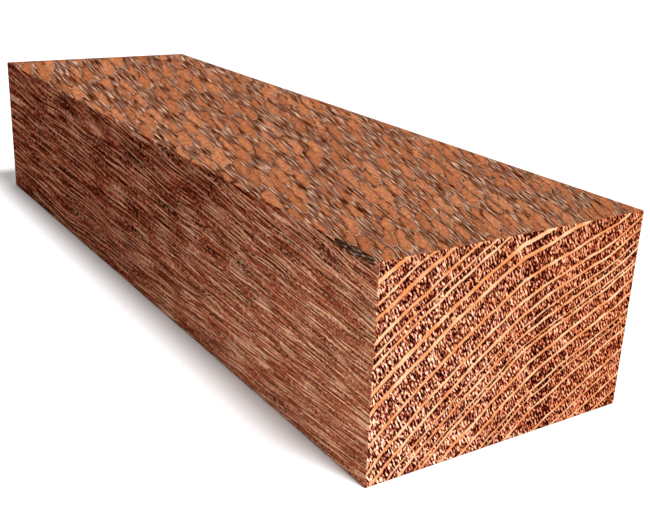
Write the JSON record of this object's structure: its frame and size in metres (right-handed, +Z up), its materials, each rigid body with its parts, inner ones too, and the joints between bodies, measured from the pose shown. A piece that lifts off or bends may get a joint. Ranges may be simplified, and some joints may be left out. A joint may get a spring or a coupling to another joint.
{
  "type": "leopardwood block",
  "caption": "Sawn rectangular block of leopardwood with a flecked quarter-sawn face, streaked flat-sawn sides, rayed end grain and a chip in one long edge.",
  "frame": {"origin": "on the underside, below the middle of the block", "axes": "+Y along the grain, from the pictured end grain to the far end; +Z up, out of the flecked quarter-sawn face; +X across the grain, to the right of someone who faces the pictured end grain"},
  "size_m": [0.0382, 0.127, 0.0254],
  "materials": {
    "leopardwood": "sawn and planed, unfinished, dull satin; flecks orange-tan on brown streaks"
  },
  "bodies": {
    "root": {"leopardwood_block": "leopardwood"}
  },
  "joints": []
}
